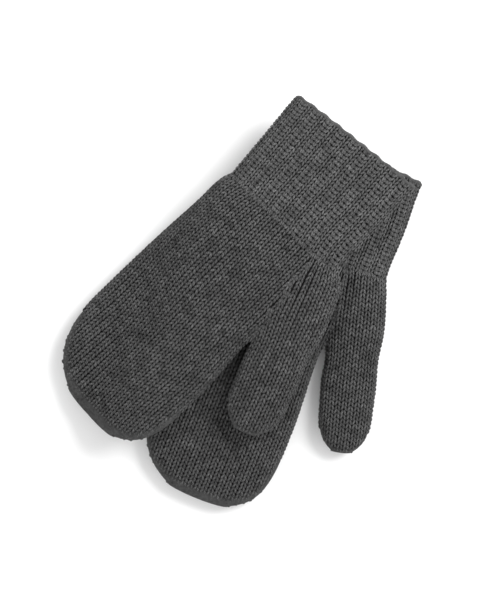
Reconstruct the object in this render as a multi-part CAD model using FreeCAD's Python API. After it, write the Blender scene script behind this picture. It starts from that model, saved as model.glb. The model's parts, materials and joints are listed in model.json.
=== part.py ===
"""A pair of knitted mittens lying flat, the upper one across the lower one. Millimetres.

Each mitten is drawn in its own frame: x to the thumb side, reach from the cuff edge to the
fingertips, z up from the mid plane between palm and back. The row's frame is +X thumb side,
+Y cuff end, +Z up, so a point at reach r has y = -r. The origin lies on the table under the
middle of the lower mitten's palm.

Every tube is a loft through rounded flat sections. A shell is one loft less a smaller one, so
knit, seam cords and lining nest with true clearance.
"""

import FreeCAD, Part
import math
import os

os.makedirs("parts", exist_ok=True)

# ---- driving dimensions ----------------------------------------------------------------
LENGTH = {"upper": 253.4, "lower": 255.8}      # cuff edge to fingertips; knit gives a little
CUFF_LENGTH = 73.0          # ribbed part
HALF_THICK = 11.0           # half of the hand's thickness
TIP_LENGTH = 64.0           # rounded end of the hand
THUMB_HALF_THICK = 10.0
THUMB_LENGTH = {"upper": 65.5, "lower": 67.3}  # from the thumb's pivot to its end
THUMB_GIVE = {"upper": 0.7, "lower": -0.7}     # how much each thumb is spread or drawn in
KNIT_WALL = 3.0
SEAM_ROOM_SIDE = 2.8        # room for seam cords between knit and lining, at the edges
SEAM_ROOM_FACE = 1.8        # the same room over the flat faces
LINING_WALL = 1.4
CORD_RADIUS = 0.65          # seam cords
CUFF_EDGE_WIDTH = 3.2       # rolled edge along the cuff's mouth
JOINT_GAP = 0.4             # clearance between neighbouring pieces
FOLD_REACH = 164.0          # knuckle fold line
PIVOT_X = {"upper": 60.0, "lower": 63.0}       # thumb pivot
PIVOT_REACH = 127.5
KNUCKLE_RADIUS = 22.4       # round seat that the thumb turns on
HAND_EXPONENT = 2.5         # squareness of the hand's section
THUMB_EXPONENT = 2.2
TIP_EXPONENTS = (2.5, 3.6)  # squareness of the tip seen from above: little finger's side, thumb's side
THUMB_TIP_EXPONENTS = (2.1, 2.1)
SECTION_POINTS = 20         # points that a section is drawn through, an even number
TIP_STATIONS = (0.2, 0.38, 0.54, 0.68, 0.8, 0.89, 0.95, 0.985)     # along a rounded end, of its length
TIP_FULLNESS = 0.55         # how late a rounded end thins out
SEAM_START = 14.0           # seam cords stop this short of the fold, degrees
SEAM_POINTS = 31            # points that a seam cord is drawn through
SEAM_SLACK = 0.6            # the fingertip cord lies this much slacker at the very end
HEM_START = 1.0             # the hem that joins knit and lining, from the cuff's top
HEM_WIDTH = 2.6
LINING_START = 4.0          # the lining's edge, from the cuff's top

# reach, edge away from the thumb, edge on the thumb side
CUFF_OUTLINE = [
    (0.0, -49.5, 50.3),
    (25.0, -47.5, 50.8),
    (48.0, -45.5, 51.2),
    (62.0, -44.4, 52.2),
    (73.0, -43.5, 56.0),
]
HAND_OUTLINE = [
    (73.0, -44.5, 56.0),
    (80.0, -46.8, 54.5),
    (90.0, -47.4, 49.5),
    (115.0, -48.6, 43.5),
    (140.0, -50.3, 43.3),
    (165.0, -51.2, 44.8),
    (190.0, -51.6, 46.2),
]
# distance along the thumb from its pivot, edge toward the hand, outer edge
THUMB_OUTLINE = [
    (-64.0, -14.0, 17.5),
    (-44.0, -18.5, 20.2),
    (-26.0, -20.0, 21.4),
    (-4.0, -19.4, 20.2),
    (12.0, -19.6, 19.7),
    (28.0, -19.9, 19.7),
    (41.0, -19.4, 19.4),
]

# how each mitten lies
TURN_LOWER = 23.0                     # lower mitten turned toward the thumb side, degrees
UPPER_CUFF = (-42.1, 128.0)           # centre of the upper cuff's mouth in the row's frame
LOWER_CUFF = (-50.8, 119.7)           # centre of the lower cuff's mouth
THUMB_ANGLE = {"upper": 21.0, "lower": 16.0}
CUFF_SHIFT = {"upper": 0.0, "lower": 14.5}     # the cuff pushed to the thumb side
SHIFT_REACH = (50.0, 115.0)                    # the push fades out between these
CUFF_SLANT = {"upper": -0.115, "lower": 0.05}  # mouth's slope across the cuff
FLAT_CUT = 0.8                        # how much the underside is pressed flat by the table
REST_GAP = 0.6                        # between the two mittens
MID_LOWER = HALF_THICK - FLAT_CUT
TOP_LOWER = MID_LOWER + HALF_THICK
MID_UPPER = TOP_LOWER + REST_GAP + HALF_THICK
TABLE_GAP = 1.2                       # left under the upper mitten where it sags
DRAPE_DROP = MID_UPPER - HALF_THICK - TABLE_GAP
DRAPE_RUN = 46.0                      # over this distance
DRAPE_EDGE = -52.0                    # x of the lower mitten's edge where the sag starts

PAST_END = 2.0              # hollows run past the solid that they are cut from
FAR = 600.0


def power(value, exponent):
    """Signed power, for rounded rectangles."""
    return math.copysign(abs(value) ** exponent, value)


class Mitten:
    """One mitten: its outline in its own frame and its place in the row."""

    def __init__(self, name):
        self.name = name
        self.upper = name == "upper"
        self.mid = MID_UPPER if self.upper else MID_LOWER
        self.turn = 0.0 if self.upper else math.radians(TURN_LOWER)
        self.cuff = UPPER_CUFF if self.upper else LOWER_CUFF
        self.thumb_angle = math.radians(THUMB_ANGLE[name])
        self.pivot_x = PIVOT_X[name]
        self.tip_start = LENGTH[name] - TIP_LENGTH

    def drape(self, x, y):
        """How far the upper mitten sags at a place in the row's frame."""
        if not self.upper:
            return 0.0
        turn = math.radians(TURN_LOWER)
        across = (x - LOWER_CUFF[0]) * math.cos(turn) + (y - LOWER_CUFF[1]) * math.sin(turn)
        t = min(1.0, max(0.0, (DRAPE_EDGE - across) / DRAPE_RUN))
        return -DRAPE_DROP * t * t * (3.0 - 2.0 * t)

    def place(self, x, reach, z):
        """A point of the mitten in the row's frame."""
        px = self.cuff[0] + x * math.cos(self.turn) + reach * math.sin(self.turn)
        py = self.cuff[1] + x * math.sin(self.turn) - reach * math.cos(self.turn)
        return FreeCAD.Vector(px, py, self.mid + z + self.drape(px, py))

    def lean(self, reach):
        """Sideways push of the cuff, fading out over the wrist."""
        start, stop = SHIFT_REACH
        t = min(1.0, max(0.0, (reach - start) / (stop - start)))
        return CUFF_SHIFT[self.name] * (1.0 - t * t * (3.0 - 2.0 * t))

    def section(self, centre, half_width, half_thick, reach, exponent, slant=0.0):
        """A closed rounded flat section across the hand."""
        points = []
        for x, z in rounded_section(half_width, half_thick, exponent):
            points.append(self.place(centre + x, reach + slant * x, z))
        return closed_wire(points)

    def thumb_point(self, along, across, z):
        """A point given along and across the thumb's own axis, from the pivot."""
        sin, cos = math.sin(self.thumb_angle), math.cos(self.thumb_angle)
        x = self.pivot_x + along * sin + across * cos
        return self.place(x, PIVOT_REACH + along * cos - across * sin, z)


def rounded_section(half_width, half_thick, exponent):
    """Points round a rounded rectangle, from the thumb's side over the top and back below."""
    points = []
    for i in range(SECTION_POINTS):
        angle = 2.0 * math.pi * i / SECTION_POINTS
        x = half_width * power(math.cos(angle), 2.0 / exponent)
        z = half_thick * power(math.sin(angle), 2.0 / exponent)
        points.append((x, z))
    return points


def closed_wire(points):
    """A closed wire of a top and a bottom curve that meet at the two edges."""
    half = SECTION_POINTS // 2
    edges = []
    for run in (points[: half + 1], points[half:] + points[:1]):
        curve = Part.BSplineCurve()
        curve.interpolate(Points=run)
        edges.append(curve.toShape())
    return Part.Wire(edges)


def loft(wires):
    """A smooth solid through closed wires."""
    solid = Part.makeLoft(wires, True, False)
    if solid.Volume < 0:
        solid.reverse()
    return solid


def round_side(share, exponent):
    """Width left of a rounded end's side, this share of the way along it."""
    return (1.0 - share**exponent) ** (1.0 / exponent)


def round_end(length, left, right, half_thick, exponents):
    """Stations of a rounded end: (distance along, left edge, right edge, half thickness)."""
    stations = []
    for share in TIP_STATIONS:
        thick = half_thick * (1.0 - share**3) ** TIP_FULLNESS
        far = left * round_side(share, exponents[0])
        near = right * round_side(share, exponents[1])
        stations.append((length * share, far, near, thick))
    return stations


def cuff_tube(mitten, side, face):
    """The cuff's solid, drawn in by side and face; it runs past both ends when drawn in."""
    wires = []
    rows = CUFF_OUTLINE
    if side > 0:
        past = PAST_END + side
        first, last = CUFF_OUTLINE[0], CUFF_OUTLINE[-1]
        rows = [(-past,) + first[1:]] + CUFF_OUTLINE + [(CUFF_LENGTH + past,) + last[1:]]
    for reach, left, right in rows:
        fade = min(1.0, max(0.0, 1.0 - reach / CUFF_LENGTH))
        slant = CUFF_SLANT[mitten.name] * fade
        centre = (left + right) / 2.0 + mitten.lean(reach)
        wide = (right - left) / 2.0 - side
        wires.append(mitten.section(centre, wide, HALF_THICK - face, reach, HAND_EXPONENT, slant))
    return loft(wires)


def hand_tube(mitten, side, face):
    """The hand's solid from the wrist to the rounded tip, drawn in by side and face."""
    wires = []
    thick = HALF_THICK - face
    if side > 0:
        reach, left, right = HAND_OUTLINE[0]
        centre, wide = (left + right) / 2.0 + mitten.lean(reach), (right - left) / 2.0 - side
        wires.append(mitten.section(centre, wide, thick, reach - PAST_END - side, HAND_EXPONENT))
    for reach, left, right in HAND_OUTLINE[:-1]:
        centre, wide = (left + right) / 2.0 + mitten.lean(reach), (right - left) / 2.0 - side
        wires.append(mitten.section(centre, wide, thick, reach, HAND_EXPONENT))
    middle, wide = hand_end(side)
    wires.append(mitten.section(middle, wide, thick, mitten.tip_start, HAND_EXPONENT))
    for along, left, right, high in round_end(TIP_LENGTH - side, -wide, wide, thick, TIP_EXPONENTS):
        centre, wide_here = middle + (left + right) / 2.0, (right - left) / 2.0
        wires.append(mitten.section(centre, wide_here, high, mitten.tip_start + along, HAND_EXPONENT))
    return loft(wires)


def hand_end(side):
    """Middle and half width of the hand where its rounded tip starts."""
    _, left, right = HAND_OUTLINE[-1]
    return (left + right) / 2.0, (right - left) / 2.0 - side


def thumb_tube(mitten, side, face):
    """The gusset and thumb as one solid along the thumb's axis, drawn in by side and face."""
    wires = []
    high = THUMB_HALF_THICK - face
    rows = THUMB_OUTLINE
    if side > 0:
        first = THUMB_OUTLINE[0]
        rows = [(first[0] - PAST_END - side,) + first[1:]] + THUMB_OUTLINE
    give = THUMB_GIVE[mitten.name] - side
    for along, inner, outer in rows:
        centre, wide = (inner + outer) / 2.0, (outer - inner) / 2.0 + give
        wires.append(thumb_section(mitten, along, centre, wide, high))
    start, _, outer = THUMB_OUTLINE[-1]
    wide = outer + give
    length = THUMB_LENGTH[mitten.name] - start - side
    for along, left, right, thick in round_end(length, -wide, wide, high, THUMB_TIP_EXPONENTS):
        centre, wide_here = (left + right) / 2.0, (right - left) / 2.0
        wires.append(thumb_section(mitten, start + along, centre, wide_here, thick))
    return loft(wires)


def thumb_section(mitten, along, centre, half_width, half_thick):
    """A closed section across the thumb."""
    points = []
    for across, z in rounded_section(half_width, half_thick, THUMB_EXPONENT):
        points.append(mitten.thumb_point(along, centre + across, z))
    return closed_wire(points)


def slab(mitten, from_reach, to_reach, slant=0.0, middle=0.0):
    """A big box between two reaches of the hand, sloping across it if a slant is given."""
    low, high = slant * (-FAR - middle), slant * (FAR - middle)
    corners = [
        (-FAR, from_reach + low),
        (FAR, from_reach + high),
        (FAR, to_reach + high),
        (-FAR, to_reach + low),
    ]
    points = [flat(mitten.place(x, reach, 0.0), -FAR) for x, reach in corners]
    face = Part.Face(Part.makePolygon(points + [points[0]]))
    return face.extrude(FreeCAD.Vector(0, 0, 2.0 * FAR))


def past_mouth(mitten, from_reach, to_reach):
    """A big box between two distances from the cuff's mouth, along its slope."""
    return slab(mitten, from_reach, to_reach, CUFF_SLANT[mitten.name], mitten.lean(0.0))


def flat(point, z):
    return FreeCAD.Vector(point.x, point.y, z)


def ahead_of_pivot(mitten, along):
    """A big box on the thumb's side of a line across the thumb."""
    corners = [(along, -FAR), (along, FAR), (along + FAR, FAR), (along + FAR, -FAR)]
    points = [flat(mitten.thumb_point(a, b, 0.0), -FAR) for a, b in corners]
    face = Part.Face(Part.makePolygon(points + [points[0]]))
    return face.extrude(FreeCAD.Vector(0, 0, 2.0 * FAR))


def knuckle(mitten, radius):
    """An upright cylinder on the thumb's pivot."""
    base = flat(mitten.place(mitten.pivot_x, PIVOT_REACH, 0.0), -FAR)
    return Part.makeCylinder(radius, 2.0 * FAR, base, FreeCAD.Vector(0, 0, 1))


def cord(points):
    """A round seam cord along an open smooth curve."""
    curve = Part.BSplineCurve()
    curve.interpolate(Points=points)
    edge = curve.toShape()
    path = Part.Wire([edge])
    tangent = edge.tangentAt(edge.FirstParameter)
    ring = Part.Wire([Part.makeCircle(CORD_RADIUS, points[0], tangent)])
    return path.makePipeShell([ring], True, False)


def round_path(length, half_width, exponents, count):
    """Points (across, along) round a tip, from the right side to the left."""
    points = []
    run = 180.0 - 2.0 * SEAM_START
    for i in range(count):
        angle = math.radians(SEAM_START + run * i / (count - 1))
        exponent = exponents[1] if angle < math.pi / 2.0 else exponents[0]
        across = half_width * power(math.cos(angle), 2.0 / exponent)
        points.append((across, length * math.sin(angle) ** (2.0 / exponent)))
    return points


def tip_seam(mitten):
    """The cord that closes the fingertips, inside the knit's edge."""
    inset = KNIT_WALL + SEAM_ROOM_SIDE / 2.0
    middle, half_width = hand_end(inset)
    points = []
    length = TIP_LENGTH - inset - SEAM_SLACK
    for across, along in round_path(length, half_width, TIP_EXPONENTS, SEAM_POINTS):
        points.append(mitten.place(middle + across, mitten.tip_start + along, 0.0))
    return cord(points)


def thumb_tip_seam(mitten):
    """The cord that closes the thumb's end."""
    inset = KNIT_WALL + SEAM_ROOM_SIDE / 2.0
    start, _, outer = THUMB_OUTLINE[-1]
    half_width = outer + THUMB_GIVE[mitten.name] - inset
    length = THUMB_LENGTH[mitten.name] - start - inset
    points = []
    for across, along in round_path(length, half_width, THUMB_TIP_EXPONENTS, SEAM_POINTS):
        points.append(mitten.thumb_point(start + along, across, 0.0))
    return cord(points)


def above_table(shape):
    """The shape with everything under the table's plane pressed away."""
    table = Part.makeBox(2 * FAR, 2 * FAR, FAR, FreeCAD.Vector(-FAR, -FAR, -FAR))
    return shape.cut(table)


def save(name, shape):
    """Writes one node, and says how many solids it has and whether they are sound."""
    print(name, "solids", len(shape.Solids), "volume", round(shape.Volume, 1), "valid", shape.isValid())
    largest = max(shape.Solids, key=lambda solid: solid.Volume)
    largest.exportStep("parts/" + name + ".step")


def build(mitten):
    """All the pieces of one mitten."""
    gap = JOINT_GAP
    lining_side, lining_face = KNIT_WALL + SEAM_ROOM_SIDE, KNIT_WALL + SEAM_ROOM_FACE
    room_side, room_face = lining_side + LINING_WALL, lining_face + LINING_WALL
    palm_zone = slab(mitten, CUFF_LENGTH + gap, FOLD_REACH - gap)
    finger_zone = slab(mitten, FOLD_REACH + gap, FAR)
    lining_zone = slab(mitten, CUFF_LENGTH + LINING_START, FOLD_REACH - gap)
    hem_zone = slab(mitten, CUFF_LENGTH + HEM_START, CUFF_LENGTH + HEM_START + HEM_WIDTH)
    seat = knuckle(mitten, KNUCKLE_RADIUS)
    thumb_room = knuckle(mitten, KNUCKLE_RADIUS + gap)
    beyond = ahead_of_pivot(mitten, 0.0)

    def palm_and_seat(side, face):
        """Hand and gusset, with the thumb only as far as its round seat."""
        tube = thumb_tube(mitten, side, face)
        gusset = tube.cut(beyond).fuse(tube.common(seat))
        return hand_tube(mitten, side, face).fuse(gusset)

    hand_outer = hand_tube(mitten, 0.0, 0.0)
    hand_inner = hand_tube(mitten, KNIT_WALL, KNIT_WALL)
    lining_outer = hand_tube(mitten, lining_side, lining_face)
    lining_inner = hand_tube(mitten, room_side, room_face)
    thumb_outer = thumb_tube(mitten, 0.0, 0.0)
    thumb_inner = thumb_tube(mitten, KNIT_WALL, KNIT_WALL)
    thumb_lining_outer = thumb_tube(mitten, lining_side, lining_face)
    thumb_lining_inner = thumb_tube(mitten, room_side, room_face)

    cuff = cuff_tube(mitten, 0.0, 0.0).cut(cuff_tube(mitten, KNIT_WALL, KNIT_WALL))
    hem = hand_tube(mitten, KNIT_WALL + gap, KNIT_WALL + gap).cut(lining_inner)
    pieces = {}
    pieces["cuff_edge"] = cuff.common(past_mouth(mitten, -FAR, CUFF_EDGE_WIDTH))
    pieces["rib_cuff"] = cuff.common(past_mouth(mitten, CUFF_EDGE_WIDTH + gap, FAR))
    palm_outer = palm_and_seat(0.0, 0.0)
    pieces["palm_knit"] = palm_outer.cut(hand_inner).cut(thumb_inner).common(palm_zone)
    pieces["finger_knit"] = hand_outer.cut(hand_inner).common(finger_zone)
    thumb_zone = beyond.cut(thumb_room)
    pieces["thumb_knit"] = thumb_outer.cut(thumb_inner).common(thumb_zone)
    pieces["palm_lining"] = lining_outer.cut(lining_inner).cut(thumb_lining_inner).common(lining_zone)
    pieces["finger_lining"] = lining_outer.cut(lining_inner).common(finger_zone)
    pieces["thumb_lining"] = thumb_lining_outer.cut(thumb_lining_inner).common(thumb_zone)
    pieces["lining_hem"] = hem.common(hem_zone)
    pieces["fingertip_seam"] = tip_seam(mitten)
    pieces["thumb_tip_seam"] = thumb_tip_seam(mitten)
    for piece, shape in pieces.items():
        save(mitten.name + "_" + piece, above_table(shape))


for mitten_name in ("lower", "upper"):
    build(Mitten(mitten_name))
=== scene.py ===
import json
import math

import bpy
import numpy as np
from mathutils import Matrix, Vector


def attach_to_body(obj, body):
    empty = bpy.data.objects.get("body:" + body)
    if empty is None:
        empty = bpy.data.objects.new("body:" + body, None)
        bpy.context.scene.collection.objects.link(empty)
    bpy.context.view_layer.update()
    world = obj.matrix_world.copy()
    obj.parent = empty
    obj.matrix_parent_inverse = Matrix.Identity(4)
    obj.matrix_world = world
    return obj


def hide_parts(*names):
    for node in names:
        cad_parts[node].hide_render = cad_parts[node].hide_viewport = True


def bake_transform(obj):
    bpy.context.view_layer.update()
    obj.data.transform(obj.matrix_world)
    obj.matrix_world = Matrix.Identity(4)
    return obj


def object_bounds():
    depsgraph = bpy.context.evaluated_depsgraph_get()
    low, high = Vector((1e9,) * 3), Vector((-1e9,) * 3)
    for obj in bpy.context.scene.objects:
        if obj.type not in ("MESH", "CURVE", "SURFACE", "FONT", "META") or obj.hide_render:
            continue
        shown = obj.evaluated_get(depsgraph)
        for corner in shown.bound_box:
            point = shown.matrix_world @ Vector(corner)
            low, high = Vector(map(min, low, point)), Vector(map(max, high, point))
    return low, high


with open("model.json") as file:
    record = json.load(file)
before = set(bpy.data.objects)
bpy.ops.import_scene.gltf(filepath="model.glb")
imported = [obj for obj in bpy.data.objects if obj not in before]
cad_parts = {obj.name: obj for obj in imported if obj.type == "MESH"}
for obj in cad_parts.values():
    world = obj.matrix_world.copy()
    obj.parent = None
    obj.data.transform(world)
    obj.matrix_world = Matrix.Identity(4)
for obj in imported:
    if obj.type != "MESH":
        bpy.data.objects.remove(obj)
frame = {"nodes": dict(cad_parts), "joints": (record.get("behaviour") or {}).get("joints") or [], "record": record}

# The looks of a pair of knitted mittens, built stitch by stitch on the imported CAD frame.
#
# Every stitch is a pair of yarn legs laid on the CAD knit's own surface: the CAD nodes are cut
# into sections across each tube, and wales and courses are counted off along those sections.
# Behind the stitches lies a felted cloth that comes to the surface where the knit turns over at
# an edge; on the faces it is painted near black, painted shade for the gaps between stitches.
# A fleece bag lies inside that. Lengths are metres.

CAD_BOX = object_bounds()
MM = 0.001

# ---- the knit ----
COURSE = 2.93 * MM              # height of one row of stitches
HAND_WALES = 11                 # wales from the centre line to one edge of the hand
THUMB_WALES = 5                 # the same on the thumb
RIBS = 10                       # ribs across one face of the cuff
LEG_SIDES = 6                   # points round a yarn leg
HAND_LEG = 0.182                # radius of a yarn leg, of its wale's width
RIB_LEG = 0.190
PURL_LEG_RADIUS = 0.50
YARN_FLATNESS = 0.92            # its height, of its width
INSET = 1.15 * MM               # the yarn's middle lies this far under the knit's outside
SIDE_SINK = 0.20 * MM           # stitches sink further where the knit turns over at a side
BAND_SINK = 0.60 * MM           # and round a tip
BAND = (0.36, 0.60)             # thickness, of the full one, between which that happens
LAST_SHARE = 0.22               # round a tip, stitches end where the tube is thinner than this
SIDE_SHARE = 0.05               # along the straight sides they run almost to the edge's middle
RIB_RISE = 0.25 * MM            # knit wales stand out
RIB_SINK = 0.15 * MM            # purl wales lie back
RIB_TILT = 0.22                 # slope of the two wales of a rib, down to the furrows
KNIT_PLACES = np.array([-0.19, 0.19])            # a rib's knit wales, of the repeat
KNIT_WIDTH, PURL_WIDTH = 0.38, 0.27              # widths of its wales, of the repeat
KNIT_BACK, PURL_BACK = 2.4 * MM, 1.5 * MM        # depth of the same stitches on the inside
BACK_WIDTH = 0.94               # and their width, of the outside's
# painted shade: purl wales, lying back in the furrows, are painted this much darker
PURL_PAINTED_SHADE = 0.92
SCALLOP = 0.4 * MM              # ribs stand out past the furrows at the cuff's mouth
SCALLOP_RUN = 26.0 * MM

# ---- the cloth behind the stitches, and the lining ----
CORE_FACE = 1.75 * MM           # depth of the felted cloth on the faces
CORE_SIDE = 1.30 * MM           # where the knit turns over at a side
CORE_EDGE = 0.50 * MM           # and round a tip
CORE_BACK = 2.9 * MM
FLEECE_OUT, FLEECE_IN = 5.0 * MM, 6.3 * MM
FLEECE_START = 4.0 * MM         # past the cuff's end
FLEECE_GUSSET = 9.0 * MM        # past the gusset's start
CLOTH_END = 0.4 * MM            # cloths end this far inside a tip
HEM_DEPTH = 3.9 * MM
HEM_COURSES = np.array([0.6, 1.6])               # past the cuff's end
HEM_STITCHES = 30               # across one face
HEM_LEG_RADIUS = 0.3
EDGE_CORD = 1.35 * MM           # radius of the rolled edge
CORD_DEPTH = 1.15 * EDGE_CORD   # its middle lies this far under the knit's outside
CORD_AT = 1.5 * MM              # and this far from the mouth
CORD_STEPS, CORD_SIDES = 12, 10                  # sections to a rib, and points to a section
CORD_WAVE, CORD_WAVE_STEP = 0.05, 2.4            # soft unevenness of its thickness
TIP_BULGE = 0.065               # how far the very end of a tip bulges, of its width
DOME_RINGS = (0.97, 0.88, 0.72, 0.5, 0.25)
TIP_STATIONS = np.array([2.6, 1.6, 0.8]) * MM    # closer sections just before a tip's end
SAG = 0.55 * MM                 # soft unevenness of worn cloth
SAG_LENGTHS = (43.0 * MM, 71.0 * MM)

# ---- where the parts of a mitten meet ----
CUFF_END = 73.0 * MM
BODY_SPLIT = 116.0 * MM         # reach at which the palm piece ends and the finger piece starts
THUMB_SPLIT = -10.0 * MM        # the same for gusset and thumb, from the thumb's pivot
CREASE_START = 30.0 * MM        # the thumb's stitches leave the cuff this far from the hand's edge
CROTCH_SEARCH = (105.0 * MM, 160.0 * MM, 0.5 * MM)
THUMB_BEYOND = 15.0 * MM        # a thumb is at least this wide
OVERLAP = 7.0 * MM              # how far the two cloths run past the crease
OVERLAP_RUN = 14.0 * MM
HAND_LAP, THUMB_LAP = 2.2 * MM, 1.4 * MM         # how far their stitches do
PAST_CROTCH = 2.0 * MM          # wales run free of the crease from here on
WALE_GIVE = (0.8, 1.1)          # narrowest and widest wale near the crease, of a free wale
TIP_RUN = 64.0 * MM             # rounded end of the hand
TIP_ROUNDS = 0.75               # share of a tip's run over which its outline truly rounds
TIP_FADE = 9.0 * MM             # stitches leave the edge over this length, where that begins
THUMB_TIP_RUN = 25.0 * MM
CUFF_BEND = (93.0 * MM, 53.0 * MM)       # reach that spans the cuff's fold
FINGER_BEND = (142.0 * MM, 186.0 * MM)
THUMB_BEND = (-4.0 * MM, 26.0 * MM)      # from the pivot, along the thumb

SECTION_STEPS = 56              # points across one face of a section
STATION_STEP = 3.0 * MM         # distance between measured sections
HALF_GAP = 1.0 * MM             # sections are cut either side of a station, to bridge a fold's gap
SLIT = 1.2 * MM                 # widest break that still counts as one tube past the crotch
FOLD_SLIT = 2.2 * MM            # and before it, where sections cross a fold at a slant
DIRECTION_STEP = 0.6 * MM       # a face's direction is taken over twice this length
EDGE_MARGIN = 0.05 * MM         # heights are read this far inside a section's ends
TIP_MARGIN = 0.3 * MM           # the last section lies this far inside a tip
FULL_SHARE = 0.9                # a cut narrower than this share of its neighbour has met a slit
ASTRAY = 2.5                    # a wale that jumps by more than this many courses has met a gap
SEED = 7

rng = np.random.default_rng(SEED)


def ease(value, start, stop):
    """0 before start, 1 after stop, smooth between."""
    t = np.clip((value - start) / (stop - start), 0, 1)
    return t * t * (3 - 2 * t)


# ---- measuring the CAD ----
def triangles(names):
    """All the triangles of some CAD nodes, in the row frame."""
    found = []
    for name in names:
        mesh = frame["nodes"][name].data
        mesh.calc_loop_triangles()
        co = np.zeros(len(mesh.vertices) * 3)
        mesh.vertices.foreach_get("co", co)
        index = np.zeros(len(mesh.loop_triangles) * 3, np.int64)
        mesh.loop_triangles.foreach_get("vertices", index)
        found.append(co.reshape(-1, 3)[index].reshape(-1, 3, 3))
    return np.concatenate(found)


def area_centre(tris):
    """The middle of a surface."""
    area = np.linalg.norm(np.cross(tris[:, 1] - tris[:, 0], tris[:, 2] - tris[:, 0]), axis=1)
    return (tris.mean(1) * area[:, None]).sum(0) / area.sum()


class Axis:
    """A line in plan: across and along it, and back to the row frame."""

    def __init__(self, origin, along, slant=0.0, slant_end=1.0):
        self.origin = np.array(origin[:2], float)
        self.along = np.array(along[:2], float) / np.linalg.norm(along[:2])
        self.across = np.array([-self.along[1], self.along[0]])
        self.slant, self.slant_end = slant, slant_end

    def local(self, points):
        """Across, along and up. Along is counted from the slanting mouth of the cuff."""
        flat = points[..., :2] - self.origin
        across, along = flat @ self.across, flat @ self.along
        lean = self.slant * across
        straight = (along - lean) / (1 - lean / self.slant_end)
        along = np.where(along < self.slant_end, straight, along)
        return np.stack([across, along, points[..., 2]], axis=-1)

    def world(self, across, along, z):
        """A point from its distances across and along, and its height."""
        across, along = np.asarray(across, float), np.asarray(along, float)
        along = along + self.slant * across * np.clip(1 - along / self.slant_end, 0, None)
        flat = self.origin + np.multiply.outer(across, self.across) + along[..., None] * self.along
        return np.concatenate([flat, np.asarray(z, float)[..., None]], axis=-1)


def slice_segments(tris, at):
    """Where a plane across the axis cuts the triangles: segments in (across, z)."""
    side = tris[:, :, 1] - at
    crossing = (side.min(1) < 0) & (side.max(1) >= 0)
    tris, side = tris[crossing], side[crossing]
    points, cut = [], []
    for a, b in ((0, 1), (1, 2), (2, 0)):
        span = side[:, a] - side[:, b]
        share = side[:, a] / np.where(np.abs(span) < 1e-12, 1e-12, span)
        points.append(tris[:, a] + np.clip(share, 0, 1)[:, None] * (tris[:, b] - tris[:, a]))
        cut.append((side[:, a] < 0) != (side[:, b] < 0))
    points, cut = np.stack(points, 1), np.stack(cut, 1)
    order = np.argsort(~cut, axis=1, kind="stable")[:, :2]
    return np.take_along_axis(points, order[:, :, None], axis=1)[:, :, [0, 2]]


def spans(segments, gap=SLIT):
    """The stretches across that a section covers without a break."""
    low, high = segments[:, :, 0].min(1), segments[:, :, 0].max(1)
    order = np.argsort(low)
    found = []
    for a, b in zip(low[order], high[order]):
        if found and a <= found[-1][1] + gap:
            found[-1][1] = max(found[-1][1], b)
        else:
            found.append([a, b])
    return found


def off_centre(span):
    """How far a stretch lies from the axis."""
    return max(span[0], -span[1], 0.0)


def section(tris, at, gap=SLIT):
    """A section's segments and the two ends of its middle part, from cuts either side of a station."""
    cuts = [slice_segments(tris, at + step) for step in (-HALF_GAP, HALF_GAP)]
    cuts = [c for c in cuts if len(c)]
    ends = [min(spans(c, gap), key=off_centre) for c in cuts]
    widest = max(b - a for a, b in ends)
    ends = [e for e in ends if e[1] - e[0] > FULL_SHARE * widest]
    left, right = np.mean(ends, axis=0)
    return np.concatenate(cuts), left, right


def heights(segments, across):
    """Top and bottom of the section at places across it."""
    x0, z0 = segments[:, 0, 0][:, None], segments[:, 0, 1][:, None]
    x1, z1 = segments[:, 1, 0][:, None], segments[:, 1, 1][:, None]
    covers = (np.minimum(x0, x1) <= across) & (across <= np.maximum(x0, x1))
    span = np.where(np.abs(x1 - x0) < 1e-9, 1e-9, x1 - x0)
    z = z0 + np.clip((across - x0) / span, 0, 1) * (z1 - z0)
    top = np.where(covers, z, -np.inf).max(0)
    bottom = np.where(covers, z, np.inf).min(0)
    known = np.isfinite(top)
    top = np.interp(across, across[known], top[known])
    bottom = np.interp(across, across[known], bottom[known])
    return top, bottom


def soften(grid, passes=2, along_only=False):
    """Evens out the facets of the measured sections."""
    for _ in range(passes):
        padded = np.pad(grid, ((1, 1), (0, 0)), mode="edge")
        padded[0], padded[-1] = 2 * grid[0] - grid[1], 2 * grid[-1] - grid[-2]
        grid = (padded[:-2] + 2 * grid + padded[2:]) / 4
        if not along_only:
            middle = (grid[:, :-2] + 2 * grid[:, 1:-1] + grid[:, 2:]) / 4
            grid = np.concatenate([grid[:, :1], middle, grid[:, -1:]], axis=1)
    return grid


def soft_waves(x, along, phase):
    """Slow unevenness between 0 and 1."""
    short, long = SAG_LENGTHS
    a = np.sin(2 * math.pi * (along / long + 0.3 * x / short) + phase)
    b = np.sin(2 * math.pi * (x / long - 0.6 * along / short) + 2.1 * phase)
    c = np.sin(2 * math.pi * (x + along) / short + 0.7 * phase)
    return 0.5 + (a + b + c) / 6


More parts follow.
